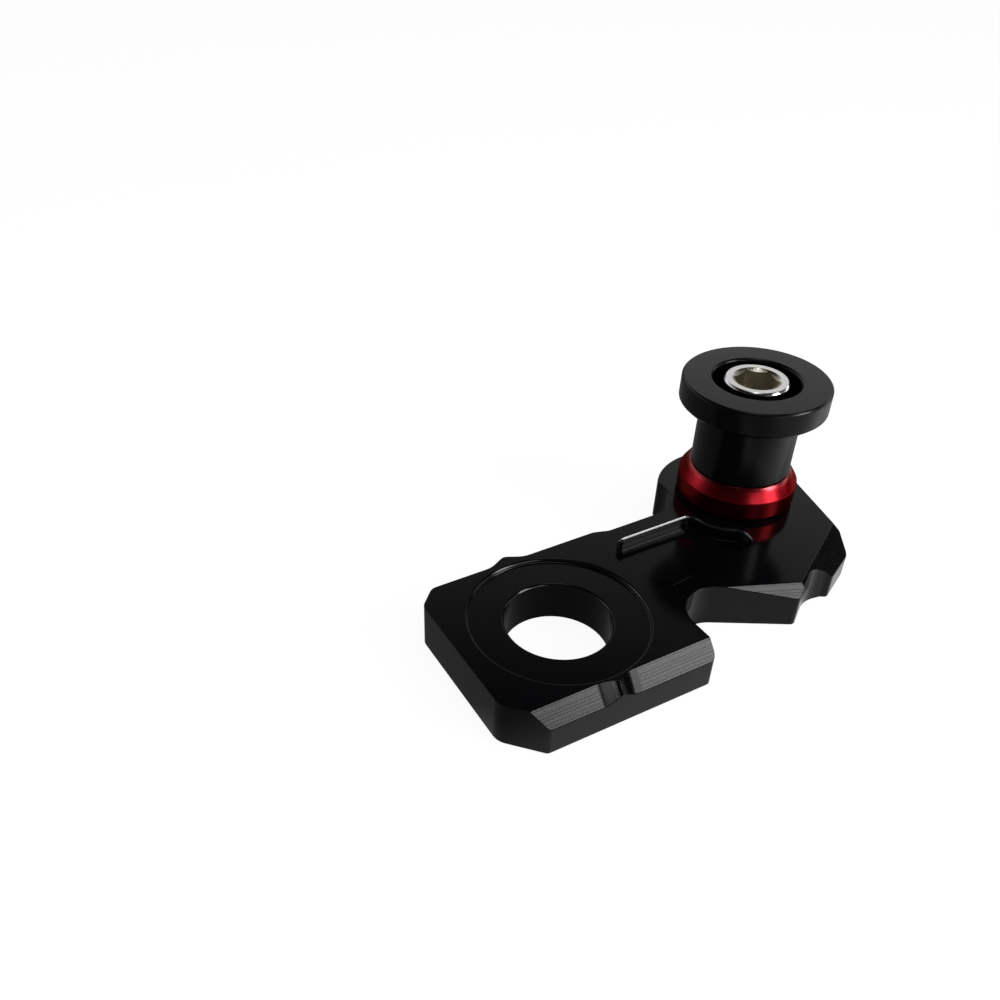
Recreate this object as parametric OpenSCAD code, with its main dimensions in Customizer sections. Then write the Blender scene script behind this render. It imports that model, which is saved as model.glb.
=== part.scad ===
// Chain adjuster plate with a screwed-on paddock stand spool.
// Millimetres, +Z up, real size. The origin is on the axle bore's axis, level with the
// plate's underside. The spool stands at +X, the milled notch of the body faces -Y.

/* [Axle plate] */
// Thickness of the plate
plate_t = 11.5; // [8:0.1:16]
// Diameter of the axle bore
axle_bore_d = 25; // [15:0.1:30]
// Axle bore's axis to the body's flat end
body_end = 25.9; // [20:0.1:35]
// Axle bore's axis to the near edge
body_near = 24.7; // [20:0.1:30]
// Axle bore's axis to the far edge
body_far = 22.45; // [20:0.05:30]
// Axle bore's axis to the throat's wall
body_right = 26; // [24:0.1:32]
// Far edge of the neck, from the axle bore's axis
neck_far = 21.15; // [16:0.05:24]

/* [Seat for the axle washer] */
// Diameter of the round seat
seat_d = 41.8; // [30:0.1:43]
// Depth of the round seat
seat_depth = 1; // [0.3:0.1:3]
// Edge break round the seat and at the bore's mouth
seat_break = 0.4; // [0.1:0.05:0.8]

/* [Milled edge of the body] */
// Width of the near edge's bevel, seen from above
edge_bevel_w = 3.3; // [1:0.1:5]
// Depth of the near edge's bevel
edge_bevel_h = 4.3; // [1:0.1:8]
// Radius of the two runs of the cutter that leave the crest
crest_run_r = 12.7; // [6:0.1:25]
// Height of the crest above the bevel
crest_h = 1.15; // [0.3:0.05:2.4]
// Place of the crest along the body
crest_x = 0.4; // [-8:0.1:8]
// Place of the far edge's point along the body
point_x = 0; // [-8:0.1:8]
// Height of the far edge's point before its tip is rounded
point_h = 2.3; // [0.5:0.1:4]
// Half of the length that the point takes from the far edge
point_half = 4.6; // [2:0.1:8]

/* [Throat] */
// Radius of the throat
throat_r = 8.5; // [5:0.1:12]
// Angle of the throat's straight wall below the X axis
throat_wall_a = 30; // [15:1:45]
// Meeting point of the throat's two walls, carried on past the arc
throat_top_y = -1.6; // [-6:0.1:4]
// Angle of the wall's bevel line below the X axis
throat_bevel_a = 22.5; // [15:0.5:29]
// Where the wall's bevel begins, along X
throat_bevel_x = 37; // [30:0.5:45]

/* [Head] */
// Spool axis, along X
spool_x = 69.3; // [50:0.1:100]
// Spool axis, along Y
spool_y = 19.9; // [0:0.1:40]
// Radius of the round lobe under the spool
lobe_r = 20; // [16:0.1:26]
// Radius between the neck and the lobe
neck_fillet_r = 9.7; // [4:0.1:11]
// Angle of the head's broad bevel above the X axis
head_bevel_a = 29; // [15:0.5:45]
// Width and depth of the head's broad bevel
head_bevel = 5.5; // [2:0.1:8]
// Width of the bevel on the head's outer side
side_bevel_w = 1.6; // [0.5:0.1:4]
// Depth of the bevel on the head's outer side
side_bevel_h = 2; // [0.5:0.1:6]

/* [Pocket in the neck] */
// Depth of the pocket
pocket_depth = 3.6; // [1:0.1:8]

/* [Collar ring] */
// Diameter of the ring
ring_d = 30.2; // [24:0.1:34]
// Diameter of the ring's upper face
ring_top_d = 26; // [24:0.1:30]
// Height at which the ring's upper bevel begins
ring_side_h = 6.1; // [2:0.1:8]
// Whole height of the ring
ring_h = 9.4; // [4:0.1:12]
// Diameter of the ring's lower face
ring_foot_d = 27.4; // [24:0.1:34]
// Height of the ring's lower bevel
ring_foot_h = 1.4; // [0.3:0.1:2]

/* [Stand spool] */
// Diameter of the waist that the stand's hook takes
waist_d = 25; // [16:0.1:30]
// Diameter of the flange
flange_d = 36.4; // [30:0.1:50]
// Thickness of the flange
flange_t = 6.9; // [3:0.1:12]
// Height of the spool from the ring to the top
spool_h = 24.6; // [16:0.1:40]
// Diameter of the counterbore for the bolt's head
counterbore_d = 21.3; // [17:0.1:26]
// Depth of the counterbore
counterbore_depth = 10; // [5:0.1:16]
// Edge break of the flange
flange_break = 0.5; // [0.2:0.05:1.5]

/* [Bolt] */
// Thread diameter
bolt_d = 10; // [6:1:12]
// Diameter of the bolt's head
head_d = 16; // [10:0.1:20]
// Height of the bolt's head
head_h = 10; // [4:0.1:14]
// Edge break of the bolt's head
head_break = 0.5; // [0.2:0.05:1.5]
// Hexagon key size
key_af = 8; // [4:1:12]
// Depth of the hexagon
key_depth = 5; // [3:0.1:8]
// Length of the bolt under its head
bolt_len = 32; // [20:1:45]
// Width of the gap round the bolt in the spool and in the ring
bolt_gap = 0.25; // [0.1:0.05:0.6]

/* [Hidden] */
$fn = 96;
spool_axis = [spool_x, spool_y];
eps = 0.5;      // how far cutters run past a face
crossing = 2;   // angle at which a round crosses its straight
throat_dir = [cos(throat_wall_a), -sin(throat_wall_a)];
throat_top = [body_right, throat_top_y];
// Corners of the head, each [x, y, radius]
throat_tip = [throat_top[0] + 34.8 * throat_dir[0], throat_top[1] + 34.8 * throat_dir[1], 1.5];
scallop = [64.4, -13.65, 8];
scallop_end = [69.3, -14.4, 3];
scallop_tip = [70.8, -15.3, 1.2];
outer_tip = [81.5, -10.1, 3];
// The outer side runs from the outer tip, tangent to the lobe
side_len = norm([spool_x - outer_tip[0], spool_y - outer_tip[1]]);
side_a = atan2(spool_y - outer_tip[1], spool_x - outer_tip[0]) - asin(lobe_r * cos(crossing) / side_len);
side_touch = spool_axis + lobe_r * cos(crossing) * [sin(side_a), -cos(side_a)];
side_bevel_from = [outer_tip[0], outer_tip[1]] - 5 * [cos(side_a), sin(side_a)] + side_bevel_w * [-sin(side_a), cos(side_a)];
// The round between the neck and the lobe, and the lobe's corner beside it
neck_round = [44.5, neck_far + neck_fillet_r];
lobe_corner_r = 2.5;
lobe_corner = meet(neck_round, neck_fillet_r + lobe_corner_r, spool_axis, lobe_r - lobe_corner_r);
lobe_cusp = meet(neck_round, neck_fillet_r, spool_axis, lobe_r);

plate_outline = [
    [-body_end, -16.8, 4.5], [-18.1, -body_near, 1.5], [body_right, -body_near, 1.5],
    [throat_top[0], throat_top[1], throat_r], throat_tip, scallop, scallop_end, scallop_tip, outer_tip,
    [side_touch[0], side_touch[1], 0], [spool_x, spool_y, 0], [spool_x, neck_far, 0],
    [29.5, neck_far, 3], [25.3, body_far, 3],
    [point_x + point_half, body_far, 7], [point_x, body_far + point_h, 2], [point_x - point_half, body_far, 7],
    [-body_end + 4.7, body_far, 3], [-body_end, body_far - 4.7, 3]
];
pocket_outline = [
    [24.2, 10.4, 4], [28, -3.3, 3], [58.3, 0.2, 2.6], [59.1, 5.1, 2.4],
    [53.1, 9.05, 11], [51.7, 16.2, 1.8], [29.3, 16.2, 3]
];
bevel_len = norm([edge_bevel_w, edge_bevel_h]);
bevel_tilt = atan2(edge_bevel_h, edge_bevel_w);
crest_half = sqrt(2 * crest_run_r * crest_h - pow(crest_h, 2));
ring_z = plate_t;
spool_z = ring_z + ring_h;
spool_top = spool_z + spool_h;
bolt_seat = spool_top - counterbore_depth;

function unit(v) = v / norm(v);
// The left-hand one of the two points at distance r1 from a and r2 from b
function meet(a, r1, b, r2) = let (d = norm(b - a), u = unit(b - a), s = (r1 * r1 - r2 * r2 + d * d) / (2 * d))
    a + s * u + sqrt(r1 * r1 - s * s) * [-u[1], u[0]];

// Rounded outlines from a list of [x, y, radius], taken anticlockwise
function xy(p) = [p[0], p[1]];
function back(o, i) = unit(xy(o[(i + len(o) - 1) % len(o)]) - xy(o[i]));
function ahead(o, i) = unit(xy(o[(i + 1) % len(o)]) - xy(o[i]));
// Half of the turn at a corner, and the length that its round takes from each side
function half_turn(o, i) = 90 - acos(back(o, i) * ahead(o, i)) / 2;
function run(o, i) = o[i][2] * tan(half_turn(o, i));
// Rounds are a hair wider than tangent, because exact solids need a clean crossing
function arc_r(r) = r / cos(crossing);
function centre(o, i) = xy(o[i]) + unit(back(o, i) + ahead(o, i)) * o[i][2] / cos(half_turn(o, i));
function convex(o, i) = cross(ahead(o, i), back(o, i)) > 0;

module rounded(o) {
    idx = [for (i = [0:len(o) - 1]) i];
    difference() {
        union() {
            polygon([for (i = idx) each o[i][2] == 0 ? [xy(o[i])]
                : [xy(o[i]) + back(o, i) * run(o, i), xy(o[i]) + ahead(o, i) * run(o, i)]]);
            for (i = idx) if (o[i][2] > 0 && convex(o, i)) translate(centre(o, i)) circle(arc_r(o[i][2]));
        }
        for (i = idx) if (o[i][2] > 0 && !convex(o, i)) translate(centre(o, i)) circle(arc_r(o[i][2]));
    }
}

// Everything outside a sloping plane: the plane's upper line starts at p on the top face and
// runs at angle a, and the plane falls h over a width w to the line's right
module bevel_cut(p, a, length, w, h) {
    translate([p[0], p[1], plate_t]) rotate([0, 0, a])
        rotate([90, 0, 90]) linear_extrude(length)
            polygon([[0, 0], [-w * 1.5, -h * 1.5], [-w * 1.5 - 4, eps * 6], [eps, eps * 6], [eps * w / h, eps]]);
}

// The near edge's bevel with the crest between the cutter's two runs
module crest_bevel_cut() {
    translate([0, -body_near + edge_bevel_w, plate_t]) rotate([90 + bevel_tilt, 0, 0])
        translate([0, 0, -1]) linear_extrude(bevel_len + 2) {
            translate([-body_end - 2, 0]) square([body_end + 2 + crest_x - crest_half, 5]);
            translate([crest_x + crest_half, 0]) square([body_right + 2 - crest_x - crest_half, 5]);
            for (s = [-1, 1]) translate([crest_x + s * crest_half, crest_run_r]) circle(crest_run_r);
        }
}

module plate_blank() {
    linear_extrude(plate_t) {
        difference() {
            union() {
                rounded(plate_outline);
                translate(spool_axis) circle(lobe_r, $fn = 160);
                polygon([[neck_round[0] - 1, neck_far - 1], [spool_x, neck_far - 1], lobe_cusp + [0.4, -0.6]]);
            }
            translate(neck_round) circle(arc_r(neck_fillet_r));
            polygon([lobe_corner, spool_axis + (lobe_r + 2) * unit(lobe_corner - spool_axis),
                lobe_cusp + 3 * unit(lobe_cusp - lobe_corner),
                neck_round + (neck_fillet_r - 2) * unit(lobe_corner - neck_round)]);
        }
        translate(lobe_corner) circle(arc_r(lobe_corner_r));
    }
}

module adjuster_plate() {
    color([0.05, 0.05, 0.055]) difference() {
        plate_blank();
        // axle bore with its edge breaks, and the round seat
        translate([0, 0, -eps]) cylinder(d = axle_bore_d, h = plate_t + 2 * eps);
        translate([0, 0, plate_t - seat_depth]) cylinder(d = seat_d, h = seat_depth + eps, $fn = 160);
        translate([0, 0, plate_t - seat_break])
            cylinder(d1 = seat_d, d2 = seat_d + 4 * seat_break, h = 2 * seat_break, $fn = 160);
        translate([0, 0, plate_t - seat_depth - seat_break])
            cylinder(d1 = axle_bore_d, d2 = axle_bore_d + 4 * seat_break, h = 2 * seat_break);
        // pocket
        translate([0, 0, plate_t - pocket_depth]) linear_extrude(pocket_depth + eps) rounded(pocket_outline);
        // tapped hole for the bolt
        translate([spool_x, spool_y, -eps]) cylinder(d = bolt_d, h = plate_t + 2 * eps);
        // milled bevels
        crest_bevel_cut();
        bevel_cut([throat_bevel_x, -8.4], -throat_bevel_a, 26, 4, 5.6);
        bevel_cut([46.7, -22.85], head_bevel_a, 50, head_bevel, head_bevel);
        bevel_cut(side_bevel_from, side_a, 45, side_bevel_w, side_bevel_h);
    }
}

module collar_ring() {
    color([0.55, 0.02, 0.04]) translate([spool_x, spool_y, ring_z]) rotate_extrude()
        polygon([[bolt_d / 2 + bolt_gap, 0], [ring_foot_d / 2, 0], [ring_d / 2, ring_foot_h],
            [ring_d / 2, ring_side_h], [ring_top_d / 2, ring_h], [bolt_d / 2 + bolt_gap, ring_h]]);
}

module spool() {
    r = flange_d / 2;
    b = flange_break;
    color([0.06, 0.06, 0.06]) translate([spool_x, spool_y, spool_z]) rotate_extrude()
        polygon([[bolt_d / 2 + bolt_gap, 0], [waist_d / 2 - 0.3, 0], [waist_d / 2, 0.3],
            [waist_d / 2, spool_h - flange_t], [r - b, spool_h - flange_t], [r, spool_h - flange_t + b],
            [r, spool_h - b], [r - b, spool_h], [counterbore_d / 2 + b, spool_h],
            [counterbore_d / 2, spool_h - b], [counterbore_d / 2, spool_h - counterbore_depth],
            [bolt_d / 2 + bolt_gap, spool_h - counterbore_depth]]);
}

module spool_bolt() {
    color([0.75, 0.75, 0.76]) translate([spool_x, spool_y, bolt_seat]) difference() {
        rotate_extrude()
            polygon([[0, -bolt_len], [bolt_d / 2 - 1, -bolt_len], [bolt_d / 2, 1 - bolt_len],
                [bolt_d / 2, 0], [head_d / 2, 0], [head_d / 2, head_h - head_break],
                [head_d / 2 - head_break, head_h], [0, head_h]]);
        translate([0, 0, head_h - key_depth])
            rotate([0, 0, 15]) cylinder(d = key_af / cos(30), h = key_depth + eps, $fn = 6);
        translate([0, 0, head_h - 1.2]) cylinder(d1 = key_af, d2 = key_af + 5.6, h = 1.2 + eps);
    }
}

adjuster_plate();
collar_ring();
spool();
spool_bolt();
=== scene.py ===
"""Chain adjuster plate with its paddock stand spool: the finished looks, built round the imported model.

Metres, +Z up. The origin is on the axle bore's axis, level with the plate's underside.
"""
import math

import bpy
from bpy.props import FloatProperty, FloatVectorProperty, IntProperty, PointerProperty
from mathutils import Matrix, Vector


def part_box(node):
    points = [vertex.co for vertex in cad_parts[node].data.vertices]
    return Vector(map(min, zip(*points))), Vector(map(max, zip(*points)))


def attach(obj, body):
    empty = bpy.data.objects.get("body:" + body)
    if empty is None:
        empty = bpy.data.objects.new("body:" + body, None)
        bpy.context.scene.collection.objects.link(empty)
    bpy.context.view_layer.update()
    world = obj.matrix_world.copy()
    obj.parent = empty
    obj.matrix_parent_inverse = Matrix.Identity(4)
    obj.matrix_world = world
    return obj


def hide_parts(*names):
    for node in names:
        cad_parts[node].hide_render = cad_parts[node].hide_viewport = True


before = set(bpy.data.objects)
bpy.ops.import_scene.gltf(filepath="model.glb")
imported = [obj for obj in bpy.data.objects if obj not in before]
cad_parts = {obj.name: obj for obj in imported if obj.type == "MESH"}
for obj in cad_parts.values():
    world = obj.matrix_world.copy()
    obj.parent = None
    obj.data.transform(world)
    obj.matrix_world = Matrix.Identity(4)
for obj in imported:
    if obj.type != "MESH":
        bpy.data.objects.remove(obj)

bl_info = {
    "name": "Chain Adjuster with Stand Spool",
    "version": (1, 0, 0),
    "blender": (4, 5, 0),
    "location": "View3D > Sidebar > Chain Adjuster",
    "description": "Dresses the milled chain adjuster plate, its collar ring, stand spool and bolt",
    "category": "Object",
}

MM = 0.001
# Points nearer than this are one point, and faces that turn by less than this are one flat face.
MERGE_DISTANCE = 0.001 * MM
LEVEL_ANGLE = math.radians(0.4)
# Edges that turn by more than these are rounded on the ring, spool and bolt, and stay sharp in the shading.
BREAK_ANGLE = math.radians(25)
SHADING_ANGLE = math.radians(30)
# Waves of the fine grain in one metre of an anodised skin.
PLATE_GRAINS = 1400.0
SPOOL_GRAINS = 1600.0


# Sizes and colours

class PlateSettings(bpy.types.PropertyGroup):
    """The milled plate's edges and tool marks."""
    edge_break: FloatProperty(
        name="Edge break", description="Width of the broken edges of the plate",
        default=0.14 * MM, min=0, max=0.5 * MM, unit="LENGTH")
    rim_break: FloatProperty(
        name="Rim break", description="Width of the pocket's broken rim",
        default=0.65 * MM, min=0.1 * MM, max=0.8 * MM, unit="LENGTH")
    seat_d: FloatProperty(name="Seat diameter", description="Diameter of the round washer seat",
                          default=41.8 * MM, unit="LENGTH")
    bore_d: FloatProperty(name="Bore diameter", description="Diameter of the axle's bore",
                          default=25 * MM, unit="LENGTH")
    edge_angle: FloatProperty(
        name="Edge angle", description="Edges that turn by more than this are broken",
        default=math.radians(24), min=0, max=math.pi, subtype="ANGLE")
    mark_pitch: FloatProperty(
        name="Cutter mark pitch", description="Height of one pass of the cutter on a sloping edge",
        default=0.62 * MM, min=0.1 * MM, max=2 * MM, unit="LENGTH")
    mark_depth: FloatProperty(
        name="Cutter mark depth", description="Depth of the cutter's marks on a sloping edge",
        default=0.016 * MM, min=0, max=0.2 * MM, unit="LENGTH")
    near_slope: FloatVectorProperty(
        name="Near slope", description="Direction that the near edge's bevel faces",
        default=(0, -0.793, 0.609), size=3, subtype="DIRECTION")
    throat_slope: FloatVectorProperty(
        name="Throat slope", description="Direction that the throat's bevel faces",
        default=(-0.311, -0.752, 0.581), size=3, subtype="DIRECTION")
    pocket_low: FloatVectorProperty(
        name="Pocket's low corner", description="Low corner of the box that holds the pocket's rim",
        default=(23 * MM, -5 * MM), size=2, subtype="XYZ")
    pocket_high: FloatVectorProperty(
        name="Pocket's high corner", description="High corner of the box that holds the pocket's rim",
        default=(61 * MM, 17 * MM), size=2, subtype="XYZ")


class TurnedSettings(bpy.types.PropertyGroup):
    """Sizes of the turned pieces.

    The key, the flange's lower break and the ring's top break follow the photograph. The other sizes
    are those of the part's source.
    """
    spool_x: FloatProperty(name="Spool axis X", description="Place of the spool's axis along X",
                           default=69.3 * MM, unit="LENGTH")
    spool_y: FloatProperty(name="Spool axis Y", description="Place of the spool's axis along Y",
                           default=19.9 * MM, unit="LENGTH")
    clearance_d: FloatProperty(name="Clearance hole", description="Diameter of the bores round the bolt",
                               default=10.5 * MM, unit="LENGTH")
    ring_d: FloatProperty(name="Ring diameter", description="Diameter of the ring's straight side",
                          default=30.2 * MM, unit="LENGTH")
    ring_top_d: FloatProperty(name="Ring top diameter", description="Diameter of the ring's upper face",
                              default=26 * MM, unit="LENGTH")
    ring_foot_d: FloatProperty(name="Ring foot diameter", description="Diameter of the ring's lower face",
                               default=27.4 * MM, unit="LENGTH")
    ring_foot_h: FloatProperty(name="Ring foot height", description="Height of the ring's lower bevel",
                               default=1.4 * MM, unit="LENGTH")
    ring_side_h: FloatProperty(name="Ring side height", description="Height where the upper bevel begins",
                               default=6.1 * MM, unit="LENGTH")
    ring_top_break: FloatProperty(name="Ring top break", description="Break at the ring's upper face",
                                  default=0.35 * MM, unit="LENGTH")
    waist_d: FloatProperty(name="Waist diameter", description="Diameter of the spool's waist",
                           default=25 * MM, unit="LENGTH")
    flange_d: FloatProperty(name="Flange diameter", description="Diameter of the spool's flange",
                            default=36.4 * MM, unit="LENGTH")
    flange_t: FloatProperty(name="Flange thickness", description="Thickness of the spool's flange",
                            default=6.9 * MM, unit="LENGTH")
    flange_break: FloatProperty(name="Flange edge break", description="Edge break of the flange",
                                default=0.5 * MM, unit="LENGTH")
    flange_low_break: FloatProperty(name="Flange lower break", description="Edge break under the flange",
                                    default=0.9 * MM, unit="LENGTH")
    counterbore_d: FloatProperty(name="Counterbore diameter", description="Diameter of the counterbore",
                                 default=21.3 * MM, unit="LENGTH")
    counterbore_depth: FloatProperty(name="Counterbore depth", description="Depth of the counterbore",
                                     default=10 * MM, unit="LENGTH")
    key_flats: FloatProperty(name="Key size", description="Width across the flats of the bolt's hexagon",
                             default=9.7 * MM, unit="LENGTH")
    key_depth: FloatProperty(name="Key depth", description="Depth of the bolt's hexagon",
                             default=5 * MM, unit="LENGTH")
    key_turn: FloatProperty(name="Key turn", description="Turn of the bolt's hexagon about its axis",
                            default=math.radians(45), subtype="ANGLE")
    steps: IntProperty(name="Steps", description="Straight steps in a full turn of a turned piece",
                       default=192, min=24, max=512)
    rounding: FloatProperty(name="Rounding", description="Radius of the small rounds of turned pieces",
                            default=0.15 * MM, min=0, max=1 * MM, unit="LENGTH")


class FinishSettings(bpy.types.PropertyGroup):
    """Colours and gloss of the finishes."""
    black: FloatVectorProperty(name="Black anodised", description="Colour of the anodised plate",
                               default=(0.0010, 0.0011, 0.0015), subtype="COLOR", size=3, min=0, max=1)
    black_satin: FloatVectorProperty(
        name="Black satin", description="Colour of the spool",
        default=(0.0016, 0.0016, 0.0016), subtype="COLOR", size=3, min=0, max=1)
    red: FloatVectorProperty(name="Red anodised", description="Colour of the collar ring",
                             default=(0.25, 0.004, 0.01), subtype="COLOR", size=3, min=0, max=1)
    red_low: FloatVectorProperty(
        name="Red at a low angle", description="Tint of the ring's reflections at a low angle",
        default=(0.6, 0.08, 0.1), subtype="COLOR", size=3, min=0, max=1)
    steel: FloatVectorProperty(name="Stainless steel", description="Colour of the bolt",
                               default=(0.72, 0.71, 0.69), subtype="COLOR", size=3, min=0, max=1)
    # Darker and browner than the outside steel, inside the bolt's hexagon.
    socket: FloatVectorProperty(name="Socket steel", description="Colour inside the bolt's hexagon",
                                default=(0.46, 0.43, 0.35), subtype="COLOR", size=3, min=0, max=1)
    plate_roughness: FloatProperty(name="Plate roughness", description="Roughness of the plate's skin",
                                   default=0.13, min=0, max=1, subtype="FACTOR")
    rim_roughness: FloatProperty(name="Rim roughness", description="Roughness of the recesses' rims",
                                 default=0.2, min=0, max=1, subtype="FACTOR")
    slope_roughness: FloatProperty(name="Slope roughness", description="Roughness of the milled slopes",
                                   default=0.3, min=0, max=1, subtype="FACTOR")
    ring_roughness: FloatProperty(name="Ring roughness", description="Roughness of the collar ring",
                                  default=0.27, min=0, max=1, subtype="FACTOR")
    spool_roughness: FloatProperty(name="Spool roughness", description="Roughness of the spool's skin",
                                   default=0.24, min=0, max=1, subtype="FACTOR")
    steel_roughness: FloatProperty(name="Steel roughness", description="Roughness of the bolt's outside",
                                   default=0.15, min=0, max=1, subtype="FACTOR")
    socket_roughness: FloatProperty(name="Socket roughness", description="Roughness inside the hexagon",
                                    default=0.32, min=0, max=1, subtype="FACTOR")
    skin_ior: FloatProperty(name="Skin index", description="Refractive index of the black skins",
                            default=1.3, min=1, max=2.5, subtype="FACTOR")
    near_ior: FloatProperty(name="Near slope index", description="Refractive index on the near slope",
                            default=1.5, min=1, max=2.5, subtype="FACTOR")
    throat_ior: FloatProperty(name="Throat slope index", description="Refractive index on that slope",
                              default=1.8, min=1, max=2.5, subtype="FACTOR")
    rim_ior: FloatProperty(name="Rim index", description="Refractive index on the recesses' rims",
                           default=1.8, min=1, max=2.5, subtype="FACTOR")
    plate_grain: FloatProperty(name="Plate grain", description="Depth of the grain in the plate's skin",
                               default=0.0005 * MM, unit="LENGTH")
    spool_grain: FloatProperty(name="Spool grain", description="Depth of the grain in the spool's skin",
                               default=0.0008 * MM, unit="LENGTH")
    steel_grain: FloatProperty(name="Steel grain", description="Depth of the marks on the bolt",
                               default=0.002 * MM, unit="LENGTH")


class StudioSettings(bpy.types.PropertyGroup):
    """Camera, floor and lamps."""
    camera_place: FloatVectorProperty(
        name="Camera place", description="Place of the camera", size=3, subtype="TRANSLATION",
        default=(-98.934 * MM, -131.123 * MM, 160.016 * MM))
    camera_right: FloatVectorProperty(
        name="Camera right", description="Direction of the picture's right-hand side", size=3,
        subtype="DIRECTION", default=(0.893194, -0.449215, -0.020268))
    camera_up: FloatVectorProperty(
        name="Camera up", description="Direction of the picture's upper side", size=3,
        subtype="DIRECTION", default=(0.28061, 0.521597, 0.805726))
    camera_lens: FloatProperty(name="Lens", description="Focal length in mm on a sensor 36 mm wide",
                               default=34.177, min=10, max=200, unit="CAMERA")
    shift_x: FloatProperty(name="Shift X", description="Sideways shift as a share of the width",
                           default=0.08303, min=-1, max=1, subtype="FACTOR")
    shift_y: FloatProperty(name="Shift Y", description="Upward shift as a share of the width",
                           default=0.01385, min=-1, max=1, subtype="FACTOR")
    floor_size: FloatProperty(name="Floor size", description="Side of the square floor",
                              default=6.0, unit="LENGTH")
    floor_gap: FloatProperty(name="Floor gap", description="Height of the part above the floor",
                             default=0.02 * MM, unit="LENGTH")
    paper: FloatVectorProperty(name="Paper", description="Colour of the floor's paper",
                               default=(0.8, 0.8, 0.8), subtype="COLOR", size=3, min=0, max=1)
    glow: FloatProperty(name="Paper's glow", description="Strength of the white that the camera sees",
                        default=1.07, min=0, max=2, subtype="FACTOR")
    glow_share: FloatProperty(name="Glow share", description="Share of the glow in what the camera sees",
                              default=0.85, min=0, max=1, subtype="FACTOR")
    room_light: FloatProperty(name="Room light", description="Strength of the even light from all sides",
                              default=0.55, min=0, max=2, subtype="FACTOR")
    lamp_target: FloatVectorProperty(
        name="Lamp target", description="Point that every softbox faces", size=3, subtype="TRANSLATION",
        default=(35 * MM, 5 * MM, 15 * MM))


# Helpers

def settings():
    """All the sizes and colours of the scene."""
    return bpy.context.scene.adjuster


def deselect():
    """Leaves object mode ready, with nothing selected."""
    if bpy.context.mode != "OBJECT":
        bpy.ops.object.mode_set(mode="OBJECT")
    bpy.ops.object.select_all(action="DESELECT")


def only(obj):
    """Selects one object alone and makes it the active one."""
    deselect()
    obj.select_set(True)
    bpy.context.view_layer.objects.active = obj


def fix_place(obj):
    """Puts the object's place, turn and size into its mesh."""
    only(obj)
    bpy.ops.object.transform_apply(location=True, rotation=True, scale=True)


def turned(name, profile, axis, steps):
    """A turned piece with a hole through it: a circle drawn out along the profile and back to its start.

    profile is a list of (radius, height), axis the turning axis as (x, y).
    """
    deselect()
    centre = Vector((axis[0], axis[1], 0))
    radius, height = profile[0]
    bpy.ops.mesh.primitive_circle_add(vertices=steps, radius=radius, fill_type="NOTHING",
                                      location=centre + Vector((0, 0, height)))
    obj = bpy.context.object
    obj.name = obj.data.name = name
    fix_place(obj)
    bpy.ops.object.mode_set(mode="EDIT")
    bpy.ops.mesh.select_mode(type="VERT")
    bpy.ops.mesh.select_all(action="SELECT")
    for next_radius, next_height in profile[1:] + profile[:1]:
        bpy.ops.mesh.extrude_region_move(
            TRANSFORM_OT_translate={"value": (0, 0, next_height - height)})
        growth = next_radius / radius
        bpy.ops.transform.resize(value=(growth, growth, 1),
                                 center_override=centre + Vector((0, 0, next_height)))
        radius, height = next_radius, next_height
    bpy.ops.mesh.select_all(action="SELECT")
    bpy.ops.mesh.remove_doubles(threshold=MERGE_DISTANCE)
    bpy.ops.mesh.normals_make_consistent(inside=False)
    bpy.ops.object.mode_set(mode="OBJECT")
    return obj


def bevel_edges(obj, width, angle, segments, wanted, clamp=True):
    """Breaks the edges that turn by more than the angle and whose two ends are wanted."""
    only(obj)
    bpy.ops.object.mode_set(mode="EDIT")
    bpy.ops.mesh.select_mode(type="EDGE")
    bpy.ops.mesh.select_all(action="DESELECT")
    bpy.ops.mesh.edges_select_sharp(sharpness=angle)
    bpy.ops.object.mode_set(mode="OBJECT")
    weight = obj.data.attributes.get("bevel_weight_edge")
    weight = weight or obj.data.attributes.new("bevel_weight_edge", "FLOAT", "EDGE")
    for edge in obj.data.edges:
        ends = [obj.data.vertices[i].co for i in edge.vertices]
        weight.data[edge.index].value = 1.0 if edge.select and wanted(*ends) else 0.0
    bevel = obj.modifiers.new("Edge break", "BEVEL")
    bevel.width = width
    bevel.segments = segments
    bevel.limit_method = "WEIGHT"
    bevel.use_clamp_overlap = clamp
    bevel.miter_outer = "MITER_ARC"
    bpy.ops.object.modifier_apply(modifier=bevel.name)


def flatten_light(obj):
    """Smooths the rounds and keeps the light even on the large faces."""
    only(obj)
    bpy.ops.object.shade_smooth_by_angle(angle=SHADING_ANGLE)
    flat = obj.modifiers.new("Flat faces", "WEIGHTED_NORMAL")
    flat.mode = "FACE_AREA"
    flat.weight = 50
    flat.keep_sharp = True
    bpy.ops.object.modifier_apply(modifier=flat.name)


def round_edges(obj, width, segments):
    """Rounds every edge that turns by more than the break angle."""
    bevel_edges(obj, width, BREAK_ANGLE, segments, lambda one, other: True)
    flatten_light(obj)


def copy_of_node(node, name):
    """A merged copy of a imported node, for a piece that keeps its shape and gets finer edges."""
    deselect()
    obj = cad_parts[node].copy()
    obj.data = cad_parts[node].data.copy()
    obj.parent = None
    for key in list(obj.keys()):
        if key.startswith("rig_"):
            del obj[key]
    obj.name = obj.data.name = name
    bpy.context.scene.collection.objects.link(obj)
    obj.data.materials.clear()
    only(obj)
    bpy.ops.object.mode_set(mode="EDIT")
    bpy.ops.mesh.select_all(action="SELECT")
    bpy.ops.mesh.remove_doubles(threshold=MERGE_DISTANCE)
    bpy.ops.mesh.dissolve_limited(angle_limit=LEVEL_ANGLE)
    bpy.ops.object.mode_set(mode="OBJECT")
    return obj


def mount(obj, node):
    """The piece stands for a node and rides on the one body."""
    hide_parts(node)
    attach(obj, "root")


# Finishes

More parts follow.
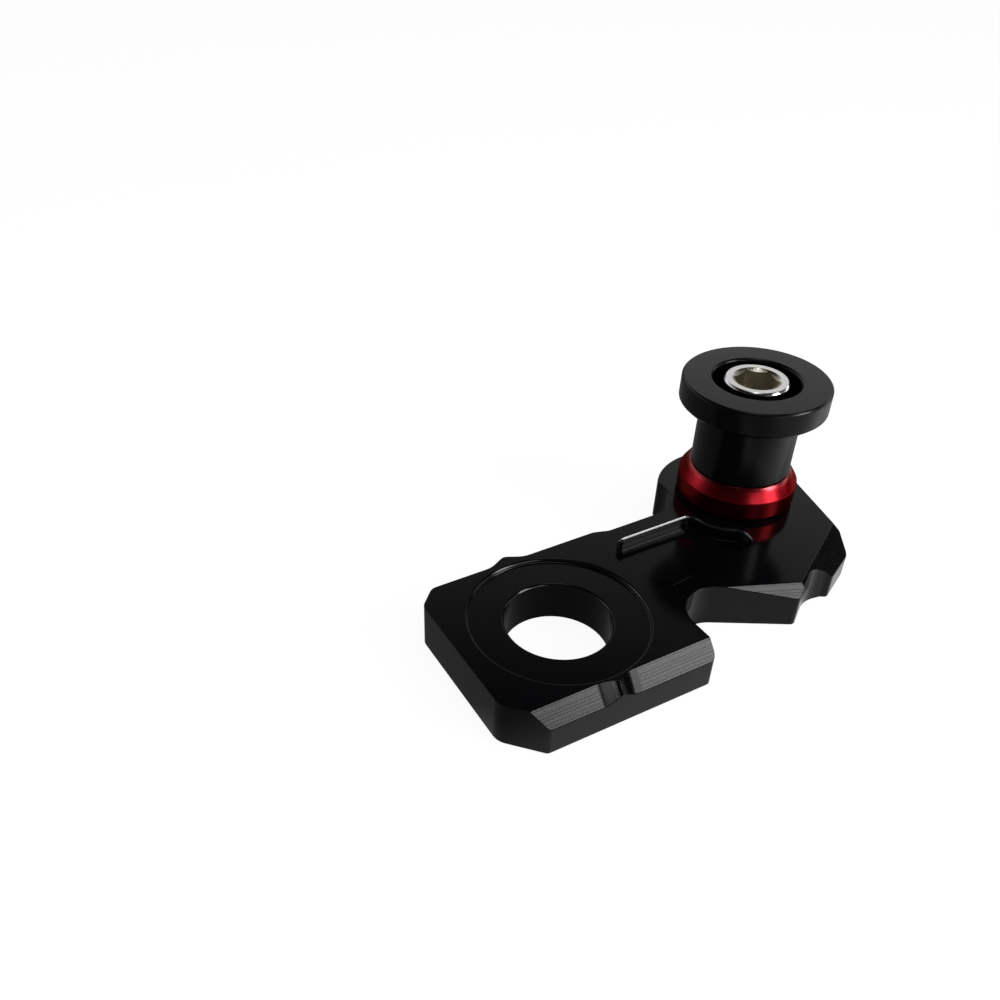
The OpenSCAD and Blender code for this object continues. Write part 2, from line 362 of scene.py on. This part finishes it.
class Nodes:
    """Short calls for building a material's nodes."""

    def __init__(self, tree):
        self.tree = tree
        tree.nodes.clear()

    def add(self, kind, inputs=None, **facts):
        """Adds a node, sets its own facts, and fills each input with a value or a link."""
        node = self.tree.nodes.new(kind)
        for key, value in facts.items():
            setattr(node, key, value)
        for key, value in (inputs or {}).items():
            socket = node.inputs[key]
            if isinstance(value, bpy.types.NodeSocket):
                self.tree.links.new(value, socket)
            else:
                socket.default_value = value
        return node

    def math(self, operation, a, b=0.0):
        return self.add("ShaderNodeMath", {0: a, 1: b}, operation=operation).outputs[0]

    def object_coordinates(self, scale=(1, 1, 1)):
        coordinates = self.add("ShaderNodeTexCoord").outputs["Object"]
        return self.add("ShaderNodeMapping", {"Vector": coordinates, "Scale": scale}).outputs["Vector"]

    def height(self):
        """Height above the underside of the plate."""
        return self.add("ShaderNodeSeparateXYZ", {"Vector": self.object_coordinates()}).outputs["Z"]

    def noise(self, place, scale, detail, roughness=0.5, dimensions="3D"):
        """A noise over a place in space, or over a single value where dimensions is 1D."""
        key = "W" if dimensions == "1D" else "Vector"
        node = self.add("ShaderNodeTexNoise", {key: place, "Scale": scale, "Detail": detail,
                                               "Roughness": roughness}, noise_dimensions=dimensions)
        return node.outputs["Fac"]

    def along(self, across, deep, direction):
        """How far a point lies along a level direction."""
        return self.math("ADD", self.math("MULTIPLY", across, direction[0]),
                         self.math("MULTIPLY", deep, direction[1]))

    def spread(self, value, start, end, low, high, smooth=False):
        """Maps a value between start and end onto low to high, and holds it beyond both."""
        kind = "SMOOTHSTEP" if smooth else "LINEAR"
        node = self.add("ShaderNodeMapRange", {"Value": value, "From Min": start, "From Max": end,
                                               "To Min": low, "To Max": high}, interpolation_type=kind)
        return node.outputs["Result"]

    def vary(self, noise, middle, swing):
        """Turns a noise, which mostly lies between 0.3 and 0.7, into a swing about a middle value."""
        return self.spread(noise, 0.3, 0.7, middle - swing, middle + swing)

    def ramp(self, factor, stops):
        """Grey levels along a factor. stops is a list of (place, level)."""
        node = self.add("ShaderNodeValToRGB", {"Fac": factor})
        elements = node.color_ramp.elements
        while len(elements) < len(stops):
            elements.new(0.5)
        for element, (place, value) in zip(elements, stops):
            element.position = place
            element.color = (value, value, value, 1)
        return node.outputs["Color"]

    def bump(self, relief, depth):
        """The normal of a surface with a relief of the given depth."""
        return self.add("ShaderNodeBump", {"Height": relief, "Strength": 1.0,
                                           "Distance": depth}).outputs["Normal"]

    def surface(self, inputs):
        """The material's shader, wired to its output."""
        shader = self.add("ShaderNodeBsdfPrincipled", inputs)
        self.add("ShaderNodeOutputMaterial", {"Surface": shader.outputs["BSDF"]})


def new_material(name):
    """An empty material and the builder for its nodes."""
    material = bpy.data.materials.new(name)
    material.use_nodes = True
    return material, Nodes(material.node_tree)


def anodised(name, colour, roughness, grain, grains, ior):
    """Dyed anodised aluminium: a very dark base under a smooth clear oxide skin."""
    material, nodes = new_material(name)
    clouds, cloud_swing, gloss_swing = 60.0, 0.2, 0.03
    fine = nodes.noise(nodes.object_coordinates(), grains, 4.0, roughness=0.6)
    broad = nodes.noise(nodes.object_coordinates(), clouds, 2.0)
    tint = nodes.add("ShaderNodeVectorMath", {0: tuple(colour)}, operation="SCALE")
    nodes.tree.links.new(nodes.vary(broad, 1.0, cloud_swing), tint.inputs["Scale"])
    nodes.surface({"Base Color": tint.outputs["Vector"], "Normal": nodes.bump(fine, grain), "IOR": ior,
                   "Roughness": nodes.vary(fine, roughness, gloss_swing)})
    return material


def milled_slope(name, colour, pitch, depth, roughness, ior):
    """The plate's sloping edges, where the cutter left level marks one pass apart."""
    material, nodes = new_material(name)
    passes = nodes.math("DIVIDE", nodes.height(), pitch)
    drift_passes, scratches_a_pass, scratch_share = 1.4, 9.0, 0.5
    drift = nodes.math("MULTIPLY", nodes.noise(passes, 0.7, 0.0, dimensions="1D"), drift_passes)
    groove = nodes.math("PINGPONG", nodes.math("ADD", passes, drift), 0.5)
    scratches = nodes.noise(passes, scratches_a_pass, 2.0, dimensions="1D")
    scratches = nodes.math("MULTIPLY", scratches, scratch_share)
    marks = nodes.math("ADD", nodes.ramp(groove, [(0, 0), (0.12, 0.75), (0.5, 1)]), scratches)
    nodes.surface({"Base Color": (*colour, 1), "Roughness": roughness, "IOR": ior,
                   "Normal": nodes.bump(marks, depth)})
    return material


def red_anodised(name, finish, edge_low, edge_high):
    """Bright dyed aluminium under a clear skin, which is glossier on the upper edge."""
    material, nodes = new_material(name)
    turning_marks = (1, 1, 60)
    side_coat, edge_coat = 0.12, 1.0
    turning = nodes.noise(nodes.object_coordinates(turning_marks), 40.0, 3.0)
    nodes.surface({"Base Color": (*finish.red, 1), "Specular Tint": (*finish.red_low, 1), "Metallic": 1.0,
                   "Roughness": nodes.vary(turning, finish.ring_roughness, 0.01),
                   "Coat Weight": nodes.spread(nodes.height(), edge_low, edge_high, side_coat, edge_coat),
                   "Coat Roughness": 0.2, "Coat IOR": 1.5})
    return material


def stainless(name, colour, roughness, grain):
    """Polished stainless steel with a trace of turning marks."""
    material, nodes = new_material(name)
    marks = nodes.noise(nodes.object_coordinates(), 900.0, 3.0)
    nodes.surface({"Base Color": (*colour, 1), "Metallic": 1.0, "Normal": nodes.bump(marks, grain),
                   "Roughness": nodes.vary(marks, roughness, 0.04)})
    return material


# The pieces

class ADJUSTER_OT_plate(bpy.types.Operator):
    """Gives the milled plate its broken edges, its cutter marks and its black finish"""
    bl_idname = "adjuster.plate"
    bl_label = "Milled Plate"

    def execute(self, context):
        sizes = settings().plate
        finish = settings().finish
        plate = copy_of_node("adjuster_plate", "milled_plate")
        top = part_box("adjuster_plate")[1].z
        low, high = sizes.pocket_low, sizes.pocket_high
        level, below_rim = 0.01 * MM, sizes.rim_break + 0.1 * MM

        def in_pocket(point):
            return low[0] < point.x < high[0] and low[1] < point.y < high[1]

        def rim(*ends):
            return all(in_pocket(end) and abs(end.z - top) < level for end in ends)

        def not_rim(*ends):
            return not all(in_pocket(end) and end.z > top - below_rim for end in ends)

        bevel_edges(plate, sizes.rim_break, sizes.edge_angle, 1, rim, clamp=False)
        bevel_edges(plate, sizes.edge_break, sizes.edge_angle, 3, not_rim)
        flatten_light(plate)
        grain = (finish.plate_grain, PLATE_GRAINS)
        marks = (sizes.mark_pitch, sizes.mark_depth, finish.slope_roughness)
        for material in (
                anodised("black_anodised_skin", finish.black, finish.plate_roughness, *grain,
                         finish.skin_ior),
                milled_slope("near_slope", finish.black, *marks, finish.near_ior),
                milled_slope("throat_slope", finish.black, *marks, finish.throat_ior),
                anodised("recess_rims", finish.black, finish.rim_roughness, *grain, finish.rim_ior)):
            plate.data.materials.append(material)
        near_slope, throat_slope, recess_rims = 1, 2, 3
        facing = {near_slope: Vector(sizes.near_slope).normalized(),
                  throat_slope: Vector(sizes.throat_slope).normalized()}
        same_way = 0.03
        least_up, most_up = 0.3, 0.95
        for face in plate.data.polygons:
            for number, direction in facing.items():
                if (face.normal - direction).length < same_way:
                    face.material_index = number
            on_pocket = in_pocket(face.center) and top - sizes.rim_break < face.center.z < top
            round_recess = any(abs(face.center.xy.length - radius) < sizes.edge_break
                               for radius in (sizes.seat_d / 2, sizes.bore_d / 2))
            if least_up < face.normal.z < most_up and (on_pocket or round_recess):
                face.material_index = recess_rims
        mount(plate, "adjuster_plate")
        return {"FINISHED"}


class ADJUSTER_OT_ring(bpy.types.Operator):
    """Turns the coloured collar ring"""
    bl_idname = "adjuster.ring"
    bl_label = "Collar Ring"

    def execute(self, context):
        sizes = settings().turned
        finish = settings().finish
        low, high = (corner.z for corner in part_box("collar_ring"))
        bore, side, top = sizes.clearance_d / 2, sizes.ring_d / 2, sizes.ring_top_d / 2
        # The break between the upper bevel and the upper face is as wide as it is high.
        bevel_run = side - top
        bevel_rise = high - low - sizes.ring_side_h
        drop = sizes.ring_top_break / (1 - bevel_run / bevel_rise)
        if not 0 < drop < bevel_rise:
            raise ValueError("The ring's upper bevel leaves no room for the break above it")
        break_start = top + drop * bevel_run / bevel_rise
        ring = turned("turned_ring", [
            (bore, low), (sizes.ring_foot_d / 2, low), (side, low + sizes.ring_foot_h),
            (side, low + sizes.ring_side_h), (break_start, high - drop),
            (top - sizes.ring_top_break, high), (bore, high),
        ], (sizes.spool_x, sizes.spool_y), sizes.steps)
        round_edges(ring, sizes.rounding, 3)
        ring.data.materials.append(red_anodised("red_anodised_skin", finish, high - drop, high))
        mount(ring, "collar_ring")
        return {"FINISHED"}


class ADJUSTER_OT_spool(bpy.types.Operator):
    """Turns the flanged stand spool with its counterbore"""
    bl_idname = "adjuster.spool"
    bl_label = "Stand Spool"

    def execute(self, context):
        sizes = settings().turned
        finish = settings().finish
        low, high = (corner.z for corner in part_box("spool"))
        bore, inner, outer = sizes.clearance_d / 2, sizes.counterbore_d / 2, sizes.flange_d / 2
        waist, waist_break = sizes.waist_d / 2, 0.3 * MM
        top_break, low_break = sizes.flange_break, sizes.flange_low_break
        under, bottom = high - sizes.flange_t, high - sizes.counterbore_depth
        spool = turned("turned_spool", [
            (bore, low), (waist - waist_break, low), (waist, low + waist_break), (waist, under),
            (outer - low_break, under), (outer, under + low_break), (outer, high - top_break),
            (outer - top_break, high), (inner + top_break, high), (inner, high - top_break),
            (inner, bottom), (bore, bottom),
        ], (sizes.spool_x, sizes.spool_y), sizes.steps)
        round_edges(spool, sizes.rounding, 3)
        spool.data.materials.append(anodised(
            "black_satin_skin", finish.black_satin, finish.spool_roughness, finish.spool_grain,
            SPOOL_GRAINS, finish.skin_ior))
        mount(spool, "spool")
        return {"FINISHED"}


class ADJUSTER_OT_bolt(bpy.types.Operator):
    """Gives the socket cap bolt its rounded edges and its polish"""
    bl_idname = "adjuster.bolt"
    bl_label = "Spool Bolt"

    def execute(self, context):
        sizes = settings().turned
        finish = settings().finish
        bolt = copy_of_node("spool_bolt", "cap_bolt")
        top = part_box("spool_bolt")[1].z
        floor = top - sizes.key_depth
        reach = sizes.key_flats / 2 / math.cos(math.radians(30))
        deselect()
        bpy.ops.mesh.primitive_cylinder_add(
            vertices=6, radius=reach, depth=2 * sizes.key_depth, rotation=(0, 0, sizes.key_turn),
            location=(sizes.spool_x, sizes.spool_y, floor + sizes.key_depth))
        key = bpy.context.object
        fix_place(key)
        only(bolt)
        cut = bolt.modifiers.new("Key", "BOOLEAN")
        cut.object = key
        cut.solver = "EXACT"
        bpy.ops.object.modifier_apply(modifier=cut.name)
        bpy.data.objects.remove(key)
        edge_break = 0.1 * MM
        round_edges(bolt, edge_break, 2)
        bolt.data.materials.clear()
        bolt.data.materials.append(stainless(
            "stainless_polish", finish.steel, finish.steel_roughness, finish.steel_grain))
        # The walls inside the hexagon get a darker, browner steel than the outside.
        bolt.data.materials.append(stainless(
            "socket_steel", finish.socket, finish.socket_roughness, finish.steel_grain))
        axis = Vector((sizes.spool_x, sizes.spool_y))
        for face in bolt.data.polygons:
            inside = (face.center.xy - axis).length < reach + edge_break / 2
            in_socket = inside and floor - edge_break < face.center.z < top - 2 * edge_break
            face.material_index = int(in_socket)
        mount(bolt, "spool_bolt")
        return {"FINISHED"}


# The stage

# Each softbox: name, direction from the target, distance and two sides in metres, power in watts.
SOFTBOXES = (
    ("softbox_front_right", (0.49, -0.81, 0.34), 0.55, (0.22, 0.20), 0.75),
    ("softbox_key", (0.56, -0.605, 0.568), 0.55, (0.16, 0.16), 1.0),
    ("softbox_front", (0.05, -0.89, 0.44), 0.55, (0.20, 0.14), 0.26),
    ("softbox_right_low", (0.94, -0.20, 0.26), 0.6, (0.40, 0.10), 0.21),
    ("softbox_back_left", (-0.65, 0.60, 0.45), 0.6, (0.20, 0.12), 0.08),
    ("softbox_top", (0.0, -0.1, 1.0), 0.9, (0.4, 0.4), 1.2),
)


class ADJUSTER_OT_stage(bpy.types.Operator):
    """Sets the floor, the lamps, the world and the camera"""
    bl_idname = "adjuster.stage"
    bl_label = "Studio"

    def execute(self, context):
        studio = settings().studio
        self.floor(studio)
        self.world(studio)
        self.lamps(studio)
        self.camera(studio)
        context.scene.view_settings.view_transform = "Standard"
        return {"FINISHED"}

    def floor(self, studio):
        """Pale paper. In reflections it shows painted light instead of its lit colour: a dim painted shade,
        with a painted pool of light at the front right and a painted strip of light in front.
        """
        deselect()
        bpy.ops.mesh.primitive_plane_add(size=studio.floor_size, location=(0, 0, -studio.floor_gap))
        floor = bpy.context.object
        floor.name = floor.data.name = "studio_floor"
        fix_place(floor)
        material, nodes = new_material("floor_paper")
        matt = nodes.add("ShaderNodeBsdfDiffuse", {"Color": (*studio.paper, 1)})
        white = nodes.add("ShaderNodeEmission", {"Color": (1, 1, 1, 1), "Strength": studio.glow})
        place = nodes.add("ShaderNodeTexCoord").outputs["Object"]
        across, deep, _ = nodes.add("ShaderNodeSeparateXYZ", {"Vector": place}).outputs
        # Painted light seen only in reflections: a dim level stands in for the part's shadow on the paper,
        # and a painted pool of light rises towards the front right.
        front_right = (0.75, -0.66)
        dim, bright = 0.16, 0.6
        painted_light_pool = nodes.spread(nodes.along(across, deep, front_right), 60 * MM, 115 * MM, dim, bright,
                            smooth=True)
        # A painted strip of light in front of the part, seen only in reflections.
        painted_strip_level = 0.5
        painted_light_strip = painted_strip_level
        for value, dark_end, light_end in ((deep, -46 * MM, -36 * MM), (deep, -4 * MM, -12 * MM),
                                           (across, -32 * MM, -18 * MM)):
            inside = nodes.spread(value, dark_end, light_end, 0, 1, smooth=True)
            painted_light_strip = nodes.math("MULTIPLY", inside, painted_light_strip)
        painted_pool_and_strip = nodes.math("ADD", painted_light_pool, painted_light_strip)
        # In reflections the paper glows with this painted light and painted shade, though it is no lamp.
        mirrored = nodes.add("ShaderNodeEmission", {"Color": (1, 1, 1, 1), "Strength": painted_pool_and_strip})
        path = nodes.add("ShaderNodeLightPath")
        glow = nodes.math("MULTIPLY", path.outputs["Is Camera Ray"], studio.glow_share)
        seen = nodes.add("ShaderNodeMixShader", {0: glow, 1: matt.outputs[0], 2: white.outputs[0]})
        mix = nodes.add("ShaderNodeMixShader", {0: path.outputs["Is Glossy Ray"], 1: seen.outputs[0],
                                                2: mirrored.outputs[0]})
        nodes.add("ShaderNodeOutputMaterial", {"Surface": mix.outputs[0]})
        floor.data.materials.append(material)

    def world(self, studio):
        """White to the camera. In reflections the light lies low at the back and the ceiling is dark."""
        world = bpy.data.worlds.new("studio_world")
        bpy.context.scene.world = world
        world.use_nodes = True
        nodes = Nodes(world.node_tree)
        direction = nodes.add("ShaderNodeTexCoord").outputs["Generated"]
        across, deep, height = nodes.add("ShaderNodeSeparateXYZ", {"Vector": direction}).outputs
        # Heights are those of a direction of length 1: 0 on the horizon and 1 overhead.
        ceiling = nodes.spread(height, 0.4, 0.745, 0.92, 0.0)
        horizon = nodes.spread(height, 0.12, 0.36, 0.12, 1.0, smooth=True)
        squared = nodes.math("SUBTRACT", 1.0, nodes.math("MULTIPLY", height, height))
        level_part = nodes.math("SQRT", nodes.math("MAXIMUM", squared, 0.001))
        backwards = (0.17, 0.985)
        to_back = nodes.along(across, deep, backwards)
        back = nodes.spread(nodes.math("DIVIDE", to_back, level_part), -0.15, 0.65, 0.1, 1.0, smooth=True)
        mirrored = nodes.math("MULTIPLY", ceiling, nodes.math("MULTIPLY", back, horizon))
        path = nodes.add("ShaderNodeLightPath")
        lit = nodes.add("ShaderNodeMix", {"Factor": path.outputs["Is Glossy Ray"], "A": studio.room_light,
                                          "B": mirrored}, data_type="FLOAT")
        seen = nodes.math("ADD", path.outputs["Is Camera Ray"], path.outputs["Is Transmission Ray"])
        strength = nodes.add("ShaderNodeMix", {"Factor": seen, "A": lit.outputs[0], "B": 1.0},
                             data_type="FLOAT").outputs[0]
        background = nodes.add("ShaderNodeBackground", {"Color": (1, 1, 1, 1), "Strength": strength})
        nodes.add("ShaderNodeOutputWorld", {"Surface": background.outputs[0]})

    def lamps(self, studio):
        """Hangs the softboxes, each one facing the target."""
        for name, direction, distance, size, power in SOFTBOXES:
            towards = Vector(direction)
            place = Vector(studio.lamp_target) + towards.normalized() * distance
            deselect()
            bpy.ops.object.light_add(type="AREA", location=place)
            lamp = bpy.context.object
            lamp.name = lamp.data.name = name
            lamp.data.shape = "RECTANGLE"
            lamp.data.size, lamp.data.size_y = size
            lamp.data.energy = power
            lamp.rotation_euler = (-towards).to_track_quat("-Z", "Y").to_euler()

    def camera(self, studio):
        """Stands the camera where the photograph was taken."""
        deselect()
        bpy.ops.object.camera_add()
        camera = bpy.context.object
        camera.name = camera.data.name = "photo_camera"
        right, up = Vector(studio.camera_right).normalized(), Vector(studio.camera_up).normalized()
        back = right.cross(up).normalized()
        up = back.cross(right)
        turn = Matrix((right, up, back)).transposed().to_4x4()
        camera.matrix_world = Matrix.Translation(Vector(studio.camera_place)) @ turn
        camera.data.sensor_width = 36
        camera.data.lens = studio.camera_lens
        camera.data.shift_x = studio.shift_x
        camera.data.shift_y = studio.shift_y
        camera.data.clip_start = 10 * MM
        bpy.context.scene.camera = camera


class AdjusterSettings(bpy.types.PropertyGroup):
    """All the sizes and colours of the scene."""
    plate: PointerProperty(type=PlateSettings)
    turned: PointerProperty(type=TurnedSettings)
    finish: PointerProperty(type=FinishSettings)
    studio: PointerProperty(type=StudioSettings)


class ADJUSTER_PT_panel(bpy.types.Panel):
    """Lists the pieces and the sizes"""
    bl_idname = "ADJUSTER_PT_panel"
    bl_label = "Chain Adjuster"
    bl_space_type = "VIEW_3D"
    bl_region_type = "UI"
    bl_category = "Chain Adjuster"

    def draw(self, context):
        layout = self.layout
        for operator in OPERATORS:
            layout.operator(operator.bl_idname)
        for group in ("plate", "turned", "finish", "studio"):
            part = getattr(context.scene.adjuster, group)
            box = layout.box()
            for key in part.bl_rna.properties.keys():
                if key not in ("rna_type", "name"):
                    box.prop(part, key)


OPERATORS = (ADJUSTER_OT_plate, ADJUSTER_OT_ring, ADJUSTER_OT_spool, ADJUSTER_OT_bolt, ADJUSTER_OT_stage)
CLASSES = (PlateSettings, TurnedSettings, FinishSettings, StudioSettings, AdjusterSettings,
           *OPERATORS, ADJUSTER_PT_panel)


def register():
    for cls in CLASSES:
        bpy.utils.register_class(cls)
    bpy.types.Scene.adjuster = PointerProperty(type=AdjusterSettings)


def unregister():
    del bpy.types.Scene.adjuster
    for cls in reversed(CLASSES):
        bpy.utils.unregister_class(cls)


def main():
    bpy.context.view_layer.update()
    register()
    bpy.ops.adjuster.plate()
    bpy.ops.adjuster.ring()
    bpy.ops.adjuster.spool()
    bpy.ops.adjuster.bolt()
    bpy.ops.adjuster.stage()


if __name__ == "__main__":
    main()
